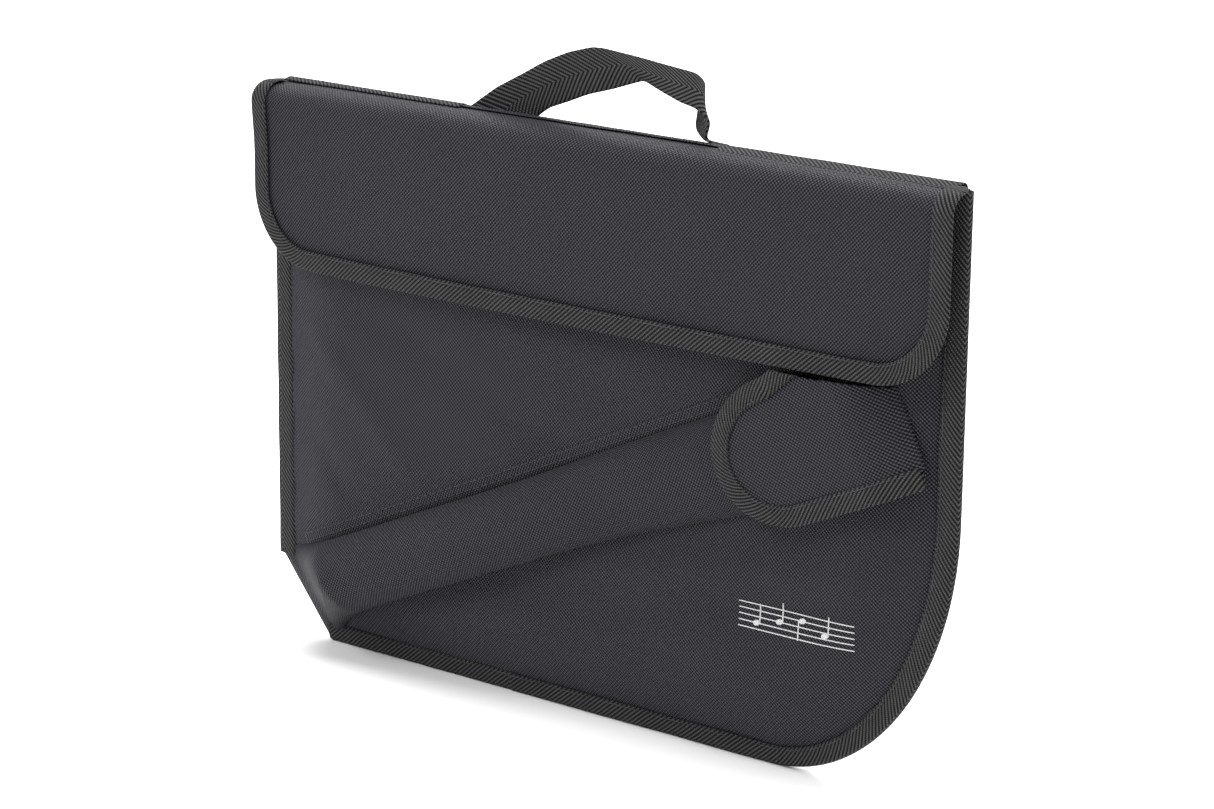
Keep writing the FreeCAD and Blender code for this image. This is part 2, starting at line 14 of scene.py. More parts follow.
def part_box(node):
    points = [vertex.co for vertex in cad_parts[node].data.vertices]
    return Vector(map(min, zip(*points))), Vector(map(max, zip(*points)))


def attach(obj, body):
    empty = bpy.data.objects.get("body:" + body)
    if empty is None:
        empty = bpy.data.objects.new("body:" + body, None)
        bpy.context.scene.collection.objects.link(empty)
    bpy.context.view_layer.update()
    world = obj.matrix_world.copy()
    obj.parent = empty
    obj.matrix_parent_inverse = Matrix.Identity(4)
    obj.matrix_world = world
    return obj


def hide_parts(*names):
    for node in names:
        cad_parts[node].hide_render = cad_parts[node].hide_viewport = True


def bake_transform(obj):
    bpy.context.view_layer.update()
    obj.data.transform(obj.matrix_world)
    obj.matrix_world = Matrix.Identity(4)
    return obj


MM = 0.001
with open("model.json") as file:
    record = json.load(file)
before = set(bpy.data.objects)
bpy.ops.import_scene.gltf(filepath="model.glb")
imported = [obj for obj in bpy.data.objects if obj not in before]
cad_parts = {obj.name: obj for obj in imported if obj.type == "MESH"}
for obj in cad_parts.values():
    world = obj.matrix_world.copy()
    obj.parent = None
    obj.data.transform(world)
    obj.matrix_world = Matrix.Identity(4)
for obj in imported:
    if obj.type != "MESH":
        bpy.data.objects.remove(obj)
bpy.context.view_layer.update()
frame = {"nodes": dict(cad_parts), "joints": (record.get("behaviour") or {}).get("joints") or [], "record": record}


# ---------------------------------------------------------------- places read from the frame

def box_mm(node):
    low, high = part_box(node)
    return np.array(low) / MM, np.array(high) / MM


edge_low, edge_high = box_mm("right_binding")
ridge_low, ridge_high = box_mm("ridge_tape_left")
flap_low, flap_high = box_mm("flap_binding")
HALF = edge_high[0]
SEAM = (edge_low[1] + edge_high[1]) / 2
RIDGE = ridge_high[2]
TAPE_LEFT_END = ridge_high[0]
TAPE_RIGHT_START = box_mm("ridge_tape_right")[0][0]
LAP = edge_low[0]
SIDE_TOP = edge_high[2]
FACE = SEAM - box_mm("front_shell")[0][1]
BACK = SEAM - box_mm("back_shell")[1][1]
MOUTH = box_mm("front_shell")[1][2]
FLAP_HALF = flap_high[0]
FLAP_BOTTOM = flap_low[2]
FLAP_FACE = SEAM - box_mm("flap_shell")[0][1]
EMBLEM_LOW, EMBLEM_HIGH = box_mm("emblem")

# outline of the body, as it is cut
CORNER_RUN, CORNER_RISE = 115.0, 160.0
CHAMFER_RUN, CHAMFER_RISE = 40.0, 50.0
TAPE = 12.0
FLAP_ROUND = 45.0
STITCH_INSET = TAPE - 1.6

# the slanted sleeve, by distance along it from its start at the cut corner
SLOPE = math.radians(24.0)
SLEEVE_X, SLEEVE_Z = -222.0, 25.0
SLEEVE_MOUTH = 450.0
SLEEVE_END, SLEEVE_END_LEAN = 1.6, -0.2617

# the D-shaped flap: its hinge and centre along the sleeve, its reach and half width, its root's depth
# and the height that it stays below
SMALL_HINGE, SMALL_CENTRE, SMALL_REACH, SMALL_SIDE = 474.0, 400.0, 46.0, 41.0
SMALL_FOOT = 16.9
SMALL_CLEAR = FLAP_BOTTOM - 3.2


def hinge(name):
    joint = [j for j in frame["joints"] if j["name"] == name][0]
    return np.array(joint["pos_m"]) / MM


LIFT = hinge("flap_lift")


# ---------------------------------------------------------------- mesh helpers

def smoothstep(low, high, value):
    t = np.clip((np.asarray(value, float) - low) / (high - low), 0.0, 1.0)
    return t * t * (3 - 2 * t)


def wave_noise(a, b, seed, scale):
    """A smooth wander between -1 and 1, the same every run."""
    rng = np.random.default_rng(seed)
    total = 0.0
    for _ in range(7):
        angle = rng.uniform(0, 2 * math.pi)
        phase = rng.uniform(0, 2 * math.pi)
        pitch = rng.uniform(0.7, 1.9)
        total = total + np.sin((a * math.cos(angle) + b * math.sin(angle)) * pitch / scale + phase)
    return total / 4.0


def make_object(name, points, faces, coords, material):
    """A smooth mesh object with a map in metres along and across the cloth."""
    mesh = bpy.data.meshes.new(name)
    mesh.from_pydata([tuple(p) for p in np.asarray(points) * MM], [], faces)
    mesh.polygons.foreach_set("use_smooth", [True] * len(mesh.polygons))
    layer = mesh.uv_layers.new(name="Weave")
    index = np.zeros(len(mesh.loops), int)
    mesh.loops.foreach_get("vertex_index", index)
    layer.data.foreach_set("uv", (np.asarray(coords, float)[index] * MM).ravel())
    mesh.validate()
    mesh.update()
    made = bpy.data.objects.new(name, mesh)
    bpy.context.scene.collection.objects.link(made)
    mesh.materials.append(material)
    return made


def grid_faces(rows, cols, start=0, flip=False, closed=False):
    """Quads of a grid of points, row by row; closed joins the last column to the first."""
    faces = []
    for r in range(rows - 1):
        for c in range(cols if closed else cols - 1):
            n = (c + 1) % cols
            quad = (start + r * cols + c, start + r * cols + n,
                    start + (r + 1) * cols + n, start + (r + 1) * cols + c)
            faces.append(quad[::-1] if flip else quad)
    return faces


def slab(name, top, bottom, coords, material, flip=False):
    """A closed sheet between two grids of points, given as (rows, cols, 3) arrays."""
    rows, cols = top.shape[:2]
    count = rows * cols
    points = np.concatenate([top.reshape(-1, 3), bottom.reshape(-1, 3)])
    faces = grid_faces(rows, cols, 0, flip) + grid_faces(rows, cols, count, not flip)
    rim = list(range(cols)) + [r * cols + cols - 1 for r in range(1, rows)]
    rim += [(rows - 1) * cols + c for c in range(cols - 2, -1, -1)]
    rim += [r * cols for r in range(rows - 2, 0, -1)]
    for i, a in enumerate(rim):
        b = rim[(i + 1) % len(rim)]
        quad = (a, a + count, b + count, b)
        faces.append(quad[::-1] if flip else quad)
    flat = np.asarray(coords).reshape(-1, 2)
    return make_object(name, points, faces, np.concatenate([flat, flat]), material)


def resample(path, step):
    """Points evenly spaced along a polyline, and their distances along it."""
    path = np.asarray(path, float)
    lengths = np.concatenate([[0], np.cumsum(np.linalg.norm(np.diff(path, axis=0), axis=1))])
    count = max(2, int(round(lengths[-1] / step)) + 1)
    along = np.linspace(0, lengths[-1], count)
    return np.stack([np.interp(along, lengths, path[:, k]) for k in range(path.shape[1])], 1), along


def inward(points, side):
    """Unit normals of a flat path, to its left (side 1) or right (side -1)."""
    run = np.gradient(points, axis=0)
    run /= np.linalg.norm(run, axis=1)[:, None] + 1e-9
    return np.stack([-run[:, 1], run[:, 0]], 1) * side


def edging(name, path, side, section, place, material, step=2.5, pucker=0.12, seed=1):
    """A folded tape along a path: section points are (inset, height) round a closed loop."""
    points, along = resample(path, step)
    normals = inward(points, side)
    section = np.asarray(section, float)
    ring_length = np.concatenate([[0], np.cumsum(np.linalg.norm(np.diff(section, axis=0), axis=1))])
    rings, coords = [], []
    for i, (p, n, s) in enumerate(zip(points, normals, along)):
        wander = wave_noise(s, 0.0, seed, 9.0) * pucker
        inset = section[:, 0] + wander * smoothstep(2, 10, section[:, 0]) * 1.6
        height = section[:, 1] * (1 + 0.5 * wander)
        flat = p[None, :] + n[None, :] * inset[:, None]
        rings.append(place(flat[:, 0], flat[:, 1], height))
        coords.append(np.stack([np.full(len(section), s), ring_length], 1))
    rows, cols = len(points), len(section)
    faces = grid_faces(rows, cols, closed=True, flip=side > 0)
    first = list(range(cols))[::side]
    last = [(rows - 1) * cols + c for c in first[::-1]]
    return make_object(name, np.concatenate(rings), faces + [tuple(first), tuple(last)],
                       np.concatenate(coords), material)


def stitches(name, path, place, height, material, pitch=3.4, length=2.5, radius=0.28):
    """A row of short raised stitches along a flat path."""
    points, along = resample(path, pitch)
    run = np.gradient(points, axis=0)
    run /= np.linalg.norm(run, axis=1)[:, None] + 1e-9
    verts, faces = [], []
    rings = [(-0.5, 0.25), (-0.36, 0.85), (0.0, 1.0), (0.36, 0.85), (0.5, 0.25)]
    sides = 6
    for p, d in zip(points[:-1], run[:-1]):
        n = np.array([-d[1], d[0]])
        base = len(verts)
        for t, swell in rings:
            for k in range(sides):
                turn = 2 * math.pi * k / sides
                flat = p + d * t * length + n * math.cos(turn) * radius * swell
                sink = (1 - swell) * 0.3
                verts.append(place(np.array([flat[0]]), np.array([flat[1]]),
                                   np.array([height + math.sin(turn) * radius * swell - sink]))[0])
        faces += grid_faces(len(rings), sides, base, closed=True)
        faces.append(tuple(range(base + sides - 1, base - 1, -1)))
        last = base + (len(rings) - 1) * sides
        faces.append(tuple(range(last, last + sides)))
    coords = np.zeros((len(verts), 2))
    return make_object(name, verts, faces, coords, material)


# ---------------------------------------------------------------- materials

def node_tools(material):
    """Two short ways to add nodes to a material: any node with its inputs, and one sum."""
    tree = material.node_tree
    tree.nodes.clear()

    def add(kind, inputs=(), **settings):
        made = tree.nodes.new(kind)
        for key, value in settings.items():
            setattr(made, key, value)
        for key, value in dict(inputs).items():
            socket = made.inputs[key]
            if hasattr(value, "is_output"):
                tree.links.new(value, socket)
            else:
                socket.default_value = value
        return made

    def maths(operation, a, b=0.0, c=0.0):
        return add("ShaderNodeMath", {0: a, 1: b, 2: c}, operation=operation).outputs[0]

    return add, maths


def finish_cloth(add, height, colour, rough, sheen, strength, distance):
    bump = add("ShaderNodeBump", {"Strength": strength, "Distance": distance, "Height": height})
    shader = add("ShaderNodeBsdfPrincipled", {
        "Base Color": colour, "Roughness": rough, "Sheen Weight": sheen, "Sheen Roughness": 0.45,
        "Specular IOR Level": 0.14, "Normal": bump.outputs[0]})
    shader.inputs["Sheen Tint"].default_value = (0.75, 0.78, 0.9, 1.0)
    output = add("ShaderNodeOutputMaterial")
    shader.id_data.links.new(shader.outputs[0], output.inputs[0])


def shade(add, factor, dark, light):
    mix = add("ShaderNodeMix", {0: factor}, data_type="RGBA")
    mix.inputs[6].default_value = (*dark, 1)
    mix.inputs[7].default_value = (*light, 1)
    return mix.outputs[2]


def split_uv(add, from_map):
    """A place on the cloth, from its own map or from the object's width and height, in metres."""
    if from_map:
        source = add("ShaderNodeUVMap", uv_map="Weave").outputs[0]
    else:
        source = add("ShaderNodeTexCoord").outputs["Object"]
    parts = add("ShaderNodeSeparateXYZ", {0: source})
    across = parts.outputs[1] if from_map else parts.outputs[2]
    return source, parts.outputs[0], across


def oxford(name, dark, light, pitch=2.25, from_map=True, rough=0.62, sheen=0.05, strength=1.0):
    """Basket-woven nylon: over-and-under yarns with uneven threads and a faint cloudy wear."""
    material = bpy.data.materials.new(name)
    material.use_nodes = True
    add, maths = node_tools(material)
    source, u, v = split_uv(add, from_map)
    turns = 2 * math.pi / (pitch * MM)
    warp = maths("SINE", maths("MULTIPLY", u, turns))
    weft = maths("SINE", maths("MULTIPLY", v, turns))
    basket = maths("MULTIPLY", warp, weft)
    diagonal = maths("SINE", maths("MULTIPLY", maths("ADD", u, v), turns))
    weave = maths("MULTIPLY_ADD", diagonal, 0.45, basket)
    uneven = add("ShaderNodeTexNoise", {"Vector": source, "Scale": 900.0, "Detail": 3.0}).outputs[0]
    cloud = add("ShaderNodeTexNoise", {"Vector": source, "Scale": 14.0, "Detail": 4.0}).outputs[0]
    height = maths("MULTIPLY_ADD", uneven, 0.25, weave)
    wear = maths("MULTIPLY_ADD", uneven, 0.3, maths("MULTIPLY", cloud, 0.3))
    tone = maths("MULTIPLY_ADD", weave, 0.95, wear)
    colour = shade(add, tone, dark, light)
    roughness = maths("MULTIPLY_ADD", cloud, 0.16, rough - 0.08)
    finish_cloth(add, height, colour, roughness, sheen, strength, 0.00045)
    return material


def herringbone(name, dark, light, column=12.5, pitch=2.0, from_map=True, strength=1.0, lean=-1.0):
    """Herringbone tape: beaded ribs at a slant that changes direction at the middle."""
    material = bpy.data.materials.new(name)
    material.use_nodes = True
    add, maths = node_tools(material)
    source, u, v = split_uv(add, from_map)
    zigzag = maths("PINGPONG", v, column * MM)
    slant, bead_pitch = math.radians(40), 1.3
    rise, run = lean * math.sin(slant), math.cos(slant)
    turn = 2 * math.pi / MM
    across_rib = maths("MULTIPLY_ADD", u, -rise, maths("MULTIPLY", zigzag, run))
    along_rib = maths("MULTIPLY_ADD", u, run, maths("MULTIPLY", zigzag, rise))
    ridge = maths("SINE", maths("MULTIPLY", across_rib, turn / pitch))
    bead = maths("SINE", maths("MULTIPLY", along_rib, turn / bead_pitch))
    rib = maths("MULTIPLY_ADD", maths("MULTIPLY", bead, maths("ADD", ridge, 0.6)), 0.38, ridge)
    yarn = add("ShaderNodeTexNoise", {"Vector": source, "Scale": 1500.0, "Detail": 2.0}).outputs[0]
    cloud = add("ShaderNodeTexNoise", {"Vector": source, "Scale": 40.0, "Detail": 3.0}).outputs[0]
    height = maths("MULTIPLY_ADD", yarn, 0.6, rib)
    lift = maths("MULTIPLY_ADD", rib, 0.62, maths("MULTIPLY_ADD", yarn, 0.45, maths("MULTIPLY", cloud, 0.3)))
    colour = shade(add, lift, dark, light)
    finish_cloth(add, height, colour, 0.75, 0.06, strength, 0.0005)
    return material


def brushed(name, dark, light, scale=1400.0, strength=0.8, rough=0.9):
    """Fuzzy pile or foam."""
    material = bpy.data.materials.new(name)
    material.use_nodes = True
    add, maths = node_tools(material)
    source = split_uv(add, False)[0]
    pile = add("ShaderNodeTexVoronoi", {"Vector": source, "Scale": scale}).outputs[0]
    fuzz = add("ShaderNodeTexNoise", {"Vector": source, "Scale": scale * 0.6, "Detail": 5.0}).outputs[0]
    height = maths("ADD", pile, fuzz)
    finish_cloth(add, height, shade(add, fuzz, dark, light), rough, 0.5, strength, 0.0006)
    return material


def thread(name, dark, light, pitch=0.5, slant=1.0):
    """Twisted thread or satin stitch: fine slanted strands."""
    material = bpy.data.materials.new(name)
    material.use_nodes = True
    add, maths = node_tools(material)
    source, u, v = split_uv(add, False)
    slanted = maths("ADD", u, maths("MULTIPLY", v, slant))
    strands = maths("SINE", maths("MULTIPLY", slanted, 2 * math.pi / (pitch * MM)))
    fibre = add("ShaderNodeTexNoise", {"Vector": source, "Scale": 1600.0, "Detail": 2.0}).outputs[0]
    tone = maths("MULTIPLY_ADD", strands, 0.25, fibre)
    height = maths("ADD", strands, fibre)
    finish_cloth(add, height, shade(add, tone, dark, light), 0.5, 0.2, 0.5, 0.0002)
    return material


CLOTH_DARK, CLOTH_LIGHT = (0.001, 0.001, 0.002), (0.064, 0.062, 0.074)
TAPE_DARK, TAPE_LIGHT = (0.001, 0.001, 0.001), (0.088, 0.086, 0.085)
CLOTH = oxford("pocket_cloth", CLOTH_DARK, CLOTH_LIGHT)
CLOTH_PLAIN = oxford("pocket_cloth_solid", CLOTH_DARK, CLOTH_LIGHT, from_map=False)
LINING = oxford("lining_cloth", (0.006, 0.006, 0.008), (0.030, 0.030, 0.034), pitch=0.8, from_map=False,
                rough=0.5, strength=0.3)
TAPE_CLOTH = herringbone("edge_tape", TAPE_DARK, TAPE_LIGHT)
TAPE_PLAIN = herringbone("edge_tape_solid", TAPE_DARK, TAPE_LIGHT, from_map=False)
HANDLE_CLOTH = herringbone("handle_tape", TAPE_DARK, TAPE_LIGHT, pitch=2.2, lean=1.0)
PILE = brushed("hook_and_loop", (0.004, 0.004, 0.005), (0.030, 0.030, 0.033))
FOAM = brushed("padding", (0.10, 0.10, 0.10), (0.22, 0.22, 0.22), scale=700.0, strength=0.3)
DARK_THREAD = thread("seam_thread", (0.010, 0.010, 0.011), (0.085, 0.084, 0.090))
PALE_THREAD = thread("embroidery", (0.42, 0.42, 0.43), (0.80, 0.80, 0.80), pitch=0.55)

NODE_FINISH = {
    "pocket_cloth": CLOTH_PLAIN, "edge_tape": TAPE_PLAIN, "lining_cloth": LINING, "foam": FOAM,
    "hook_and_loop": PILE, "handle_tape": TAPE_PLAIN, "thread": DARK_THREAD,
}


def finish_cad_nodes():
    """Gives every CAD node the finish of its slot."""
    for entry in frame["record"]["subparts"]:
        for slot in frame["nodes"][entry["node"]].material_slots:
            slot.material = NODE_FINISH[entry["material_slot"]]


finish_cad_nodes()


def dress(piece, body, slot, *nodes):
    """Rides a piece on its body and hides the nodes it stands for; the finish it is given is not used."""
    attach(piece, body)
    if nodes:
        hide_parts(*nodes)
    return piece


# ---------------------------------------------------------------- outline of the body

def ellipse_points(centre, run, rise, first, last, count=48):
    turns = np.radians(np.linspace(first, last, count))
    return np.stack([centre[0] + run * np.cos(turns), centre[1] + rise * np.sin(turns)], 1)


CHAMFER_LENGTH = math.hypot(CHAMFER_RUN, CHAMFER_RISE)
CORNER_X = HALF - CORNER_RUN


def left_side(z, border=0.0):
    """Left edge of the body at a height, moved in by border."""
    z = np.asarray(z, float)
    cut = (border * CHAMFER_LENGTH - CHAMFER_RUN * (z - CHAMFER_RISE)) / CHAMFER_RISE - HALF
    return np.maximum(border - HALF, cut)


def right_side(z, border=0.0):
    """Right edge of the body at a height, moved in by border."""
    z = np.asarray(z, float)
    rise = CORNER_RISE - border
    drop = np.clip((CORNER_RISE - z) / rise, 0.0, 1.0)
    return CORNER_X + (CORNER_RUN - border) * np.sqrt(1 - drop * drop)


OUTLINE = np.concatenate([
    [(-HALF, RIDGE + 40), (-HALF, CHAMFER_RISE), (CHAMFER_RUN - HALF, 0.0)],
    ellipse_points((CORNER_X, CORNER_RISE), CORNER_RUN, CORNER_RISE, -90, 0),
    [(HALF, RIDGE + 40)],
])


def edge_distance(x, z):
    """Distance from the body's sides and bottom."""
    best = np.full(np.shape(x), 1e9)
    for (ax, az), (bx, bz) in zip(OUTLINE[:-1], OUTLINE[1:]):
        dx, dz = bx - ax, bz - az
        t = np.clip(((x - ax) * dx + (z - az) * dz) / (dx * dx + dz * dz), 0, 1)
        best = np.minimum(best, np.hypot(x - ax - t * dx, z - az - t * dz))
    return best


# folds of the front panel: start, end, width and height of each soft ridge or valley
FRONT_FOLDS = [
    ((-150, 210), (40, 128), 13, -1.3), ((-60, 215), (130, 205), 12, 0.9),
    ((-215, 200), (-120, 118), 10, 1.2), ((-228, 150), (-170, 98), 8, -1.3),
    ((-30, 80), (150, 120), 12, 1.3), ((-10, 60), (170, 104), 10, -1.1),
    ((-140, 24), (-20, 60), 9, 1.6), ((-150, 34), (-40, 82), 7, -1.2), ((60, 30), (190, 70), 16, 1.0),
    ((190, 60), (222, 140), 10, -1.0), ((205, 120), (216, 200), 8, 1.0), ((-110, 14), (60, 22), 7, 1.2),
]


def fold_sum(x, z, folds):
    """The height that a list of folds adds at each place."""
    total = np.zeros(np.shape(x))
    for (ax, az), (bx, bz), width, height in folds:
        dx, dz = bx - ax, bz - az
        length = math.hypot(dx, dz)
        t = ((x - ax) * dx + (z - az) * dz) / (length * length)
        off = ((x - ax) * dz - (z - az) * dx) / length + 3.0 * np.sin(t * 4.0)
        fade = smoothstep(-0.25, 0.2, t) * (1 - smoothstep(0.8, 1.25, t))
        total = total + height * fade * np.exp(-(off / width) ** 2)
    return total


def front_depth(x, z):
    """Depth of the front panel's face: it swells softly out of the taped seam."""
    inner = edge_distance(x, z)
    swell = 1 - (1 - np.clip((inner - 10) / 55, 0, 1)) ** 2
    depth = 3.1 + (FACE - 3.7) * swell
    loose = smoothstep(16, 60, inner)
    depth = depth + loose * (fold_sum(x, z, FRONT_FOLDS) + 0.45 * wave_noise(x, z, 5, 26.0))
    pucker = (1 - smoothstep(16, 44, inner)) * smoothstep(11, 16, inner)
    return depth + 0.28 * pucker * wave_noise(x, z, 8, 6.5)


def back_depth(x, z):
    """Depth of the back panel's face: a pad with rounded edges, flat under the ridge tape."""
    inner = edge_distance(x, z)
    swell = np.sqrt(np.clip(1 - (1 - np.clip((inner - 6) / 14, 0, 1)) ** 2, 0, 1))
    rise = swell * (1 - smoothstep(RIDGE - 22, RIDGE - 10, z))
    return -1.7 + (BACK + 1.7) * rise


def on_front(x, z, height):
    """A point over the front panel."""
    x, z = np.asarray(x, float), np.asarray(z, float)
    return np.stack([x, SEAM - front_depth(x, z) - height, z], -1)


def on_back(x, z, height):
    """A point over the back panel; height runs out of the bag, and a negative one into it."""
    x, z = np.asarray(x, float), np.asarray(z, float)
    return np.stack([x, SEAM - back_depth(x, z) + height, z], -1)


def on_seam(x, z, height):
    """A point in front of the seam plane, or behind it when height is negative."""
    x, z = np.asarray(x, float), np.asarray(z, float)
    return np.stack([x, SEAM - np.asarray(height, float), z], -1)


def body_grid(border, bottom, top, cols=150, rows=110):
    """A grid of places over the body, moved in from its edges by border."""
    heights = np.linspace(bottom, top, rows)[:, None] * np.ones((1, cols))
    share = np.linspace(0, 1, cols)[None, :]
    left, right = left_side(heights, border), right_side(heights, border)
    return left + (right - left) * share, heights


def make_panels():
    """The front panel with its lining, and the padded back panel."""
    under_tape = 5.0
    x, z = body_grid(under_tape, under_tape, MOUTH)
    coords = np.stack([x, z], -1)
    panel = slab("front_panel", on_front(x, z, 0.0), on_front(x, z, -1.0), coords, CLOTH)
    dress(panel, "bag", "pocket_cloth", "front_shell")
    lining = slab("front_panel_lining", on_front(x, z, -1.2), on_front(x, z, -1.8), coords, LINING)
    dress(lining, "bag", "lining_cloth", "front_lining")
    x, z = body_grid(under_tape, under_tape, RIDGE - 2.5)
    outer, inner = on_back(x, z, 0.0), on_back(x, z, -1.0)
    panel = slab("back_panel", outer, inner, np.stack([x, z], -1), CLOTH, flip=True)
    dress(panel, "bag", "pocket_cloth", "back_shell")


# ---------------------------------------------------------------- taped edges of the body

def tape_section(front, back, fold=0.4, thick=0.75, wide=TAPE):
    """A folded tape's closed section as (inset, height): out along one leg, back inside."""
    outer = [(wide, front), (wide * 0.62, front - 0.05), (wide * 0.3, front - 0.5), (1.2, front * 0.66),
             (0.0, front * 0.2), (0.0, back * 0.2), (1.2, back * 0.66), (wide * 0.3, back + 0.3),
             (wide * 0.62, back + 0.05), (wide, back)]
    inner = [(wide, back + thick), (wide * 0.5, back + thick), (2.0, back * 0.4),
             (1.0 + fold, 0.0), (2.0, front * 0.4), (wide * 0.5, front - thick), (wide, front - thick)]
    return outer + inner


def make_edge_tapes():
    """Folded tape round the body, lapped at the bottom, with a row of stitches on each face."""
    section = tape_section(4.6, -3.6)
    left = [(-HALF, RIDGE - 2.5), (-HALF, CHAMFER_RISE - 1)]
    broad = [(16.0, 5.0), (11.0, 5.2), (5.0, 4.9), (1.0, 3.9)]
    broad += [(inset + (3.0 if inset >= 11 else 0.0), height) for inset, height in section[4:]]
    piece = edging("left_edge_tape", left, 1, broad, on_seam, TAPE_CLOTH, seed=3)
    dress(piece, "bag", "edge_tape", "left_binding")
    bottom = [(CHAMFER_RUN - HALF, 0.0), (LAP + 6, 0.0)]
    piece = edging("bottom_edge_tape", bottom, 1, section, on_seam, TAPE_CLOTH, seed=4)
    dress(piece, "bag", "edge_tape", "bottom_binding")
    lapped = [(inset, height + 0.8) for inset, height in section]
    corner = ellipse_points((CORNER_X, CORNER_RISE), CORNER_RUN, CORNER_RISE, -90, 0)
    right = np.concatenate([[(LAP, 0.0)], corner, [(HALF, RIDGE - 2.5)]])
    piece = edging("right_edge_tape", right, 1, lapped, on_seam, TAPE_CLOTH, seed=5)
    dress(piece, "bag", "edge_tape", "right_binding")
    inset = STITCH_INSET
    inner = np.concatenate([
        [(LAP, inset)],
        ellipse_points((CORNER_X, CORNER_RISE), CORNER_RUN - inset, CORNER_RISE - inset, -90, 0),
        [(HALF - inset, SIDE_TOP)]])
    rows = [("right", inner, 5.5), ("bottom", [(CHAMFER_RUN - HALF + 4, inset), (LAP, inset)], 4.7),
            ("left", [(inset + 4 - HALF, SIDE_TOP), (inset + 4 - HALF, CHAMFER_RISE + 6)], 5.1)]
    for name, path, height in rows:
        dress(stitches(name + "_edge_stitches", path, on_seam, height, DARK_THREAD), "bag", "thread")
        dress(stitches(name + "_back_stitches", path, on_seam, -3.7, DARK_THREAD), "bag", "thread")


# ---------------------------------------------------------------- main flap

def flap_section():
    """The flap's profile from the ridge, as (depth, height) points along its length."""
    start = (SEAM - LIFT[1] - 1.6, LIFT[2] + 1.3)
    crest = ellipse_points((11.5, RIDGE - 11.2), 12.3, 10.2, 96, 4, 30)
    drop = [(FLAP_FACE - 0.1, z) for z in np.linspace(RIDGE - 20, FLAP_BOTTOM, 60)]
    points = np.concatenate([[start], crest, drop])
    return resample(points, 1.0)


FLAP_CURVE, FLAP_ALONG = flap_section()
FLAP_LENGTH = FLAP_ALONG[-1]
FLAP_NORMALS = inward(FLAP_CURVE, 1)


def flap_swell(x, b):
    """The flap bows softly: proud in the middle, sagging lower edge, pinched by its tape."""
    side = smoothstep(8, 46, FLAP_HALF - np.abs(x))
    low = smoothstep(8, 40, FLAP_LENGTH - b)
    ripple = 0.5 * wave_noise(x, b, 12, 42.0) * smoothstep(30, 60, b)
    bow = 1.1 * np.cos(np.clip(x / FLAP_HALF, -1, 1) * math.pi / 2)
    droop = -2.6 * smoothstep(150, FLAP_HALF, -x) * smoothstep(16, 60, b)
    return side * low * (0.5 + ripple) + bow * smoothstep(24, 60, b) + droop


def drawn_in(x):
    """The flap's left side is pulled in a little where its corner curls."""
    return x + 4.4 * smoothstep(150, FLAP_HALF, -np.asarray(x, float))


def on_flap(x, b, height):
    """A point of the flap from its place across, its distance from the ridge and its height."""
    x, b = np.asarray(x, float), np.asarray(b, float)
    depth = np.interp(b, FLAP_ALONG, FLAP_CURVE[:, 0])
    tall = np.interp(b, FLAP_ALONG, FLAP_CURVE[:, 1])
    out_depth = np.interp(b, FLAP_ALONG, FLAP_NORMALS[:, 0])
    out_tall = np.interp(b, FLAP_ALONG, FLAP_NORMALS[:, 1])
    lift = np.asarray(height, float) + flap_swell(x, b)
    sag = -1.4 * np.cos(np.clip(x / FLAP_HALF, -1, 1) * math.pi / 2) * smoothstep(30, FLAP_LENGTH, b)
    return np.stack([drawn_in(x), SEAM - depth - out_depth * lift, tall + out_tall * lift + sag], -1)


def flap_half_width(b, border):
    """Half the flap's width at a distance from the ridge."""
    rest = FLAP_LENGTH - border - b
    radius = FLAP_ROUND - border
    short = np.clip((radius - rest) / radius, 0, 1)
    return FLAP_HALF - FLAP_ROUND + radius * np.sqrt(1 - short * short)


# where the flap's upper strip ends
SPLIT = 14.0


